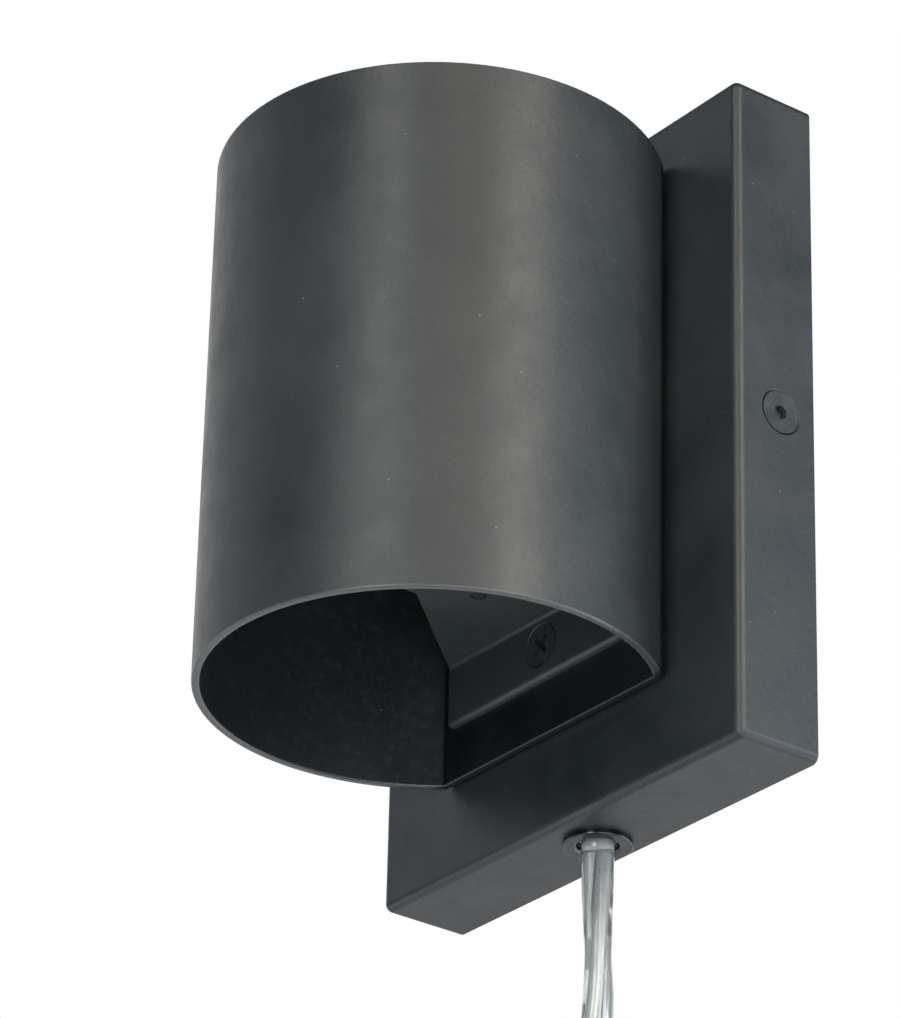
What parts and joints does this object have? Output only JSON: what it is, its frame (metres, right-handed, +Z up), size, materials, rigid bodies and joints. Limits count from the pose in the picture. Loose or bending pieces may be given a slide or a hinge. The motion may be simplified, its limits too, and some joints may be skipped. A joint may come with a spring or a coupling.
{
  "type": "plug-in wall lamp",
  "caption": "Wall lamp: a dark D-shaped steel tube, open at top and bottom, on a flat rectangular box over a wall bracket, with a clear cord, hand switch and flat plug.",
  "frame": {"origin": "on the wall plane, midway between the wall bracket's two slots, which is the box's mid height and mid width", "axes": "+Z up, +Y into the wall along the wall screws, so the lamp stands out along -Y; +X to the right of someone facing the wall"},
  "size_m": [0.1, 0.0865, 0.3226],
  "materials": {
    "satin_paint": "fine powder coat, satin, anthracite",
    "black_screw": "black oxide on steel, oiled",
    "zinc_steel": "bright zinc plate",
    "dark_nickel": "polished black nickel",
    "bright_nickel": "nickel plate",
    "white_plastic": "moulded polyamide",
    "steatite": "glazed steatite ceramic",
    "spring_bronze": "plated spring bronze",
    "brass": "turned brass",
    "frosted_glass": "etched glass",
    "light_strip": "phosphor-coated carrier",
    "clear_pvc": "clear flexible pvc over tinned strands",
    "silicone_sleeve": "heat-proof silicone sleeve",
    "black_tie": "woven hook-and-loop band",
    "black_plastic": "moulded plastic, fine texture"
  },
  "bodies": {
    "fitting": {"wall_box": "satin_paint", "tube": "satin_paint", "lamp_bracket": "satin_paint", "tube_spacer": "satin_paint", "side_screws": "black_screw", "tube_screw": "black_screw", "wall_bracket": "zinc_steel", "rivet_nuts": "zinc_steel", "tube_screw_washer": "zinc_steel", "tube_screw_nut": "zinc_steel", "wire_nipple": "zinc_steel", "nipple_nuts": "zinc_steel", "lampholder_screws": "black_screw", "terminal_clamp_screws": "zinc_steel", "terminal_fixing_screw": "zinc_steel", "cord_clamp_screws": "zinc_steel", "switch_screws": "zinc_steel", "gland_nut": "dark_nickel", "cord_gland": "dark_nickel", "nipple_liner": "white_plastic", "terminal_block": "white_plastic", "cord_clamp": "white_plastic", "lampholder": "steatite", "lampholder_contacts": "spring_bronze", "terminal_ways": "brass", "plug_pins": "bright_nickel", "gland_bush": "clear_pvc", "cord_inside": "clear_pvc", "cord_lead": "clear_pvc", "cord_coil": "clear_pvc", "cord_bend": "clear_pvc", "cord_cores": "clear_pvc", "lamp_wires": "silicone_sleeve", "cord_tie": "black_tie", "switch_base": "black_plastic", "switch_cover": "black_plastic", "plug_body": "black_plastic"},
    "lamp": {"lamp_pins": "bright_nickel", "lamp_base": "steatite", "lamp_glass": "frosted_glass", "lamp_light_strip": "light_strip"},
    "rocker": {"switch_rocker": "black_plastic"}
  },
  "joints": [
    {"name": "lamp_pull", "type": "slide", "parent": "fitting", "child": "lamp", "axis": [0, 0, 1], "range_m": [0, 0.007]},
    {"name": "rocker_tilt", "type": "hinge", "parent": "fitting", "child": "rocker", "pos_m": [0.0261, -0.0141, -0.1952], "axis": [0, -1, 0], "range_deg": [0, 18]}
  ]
}
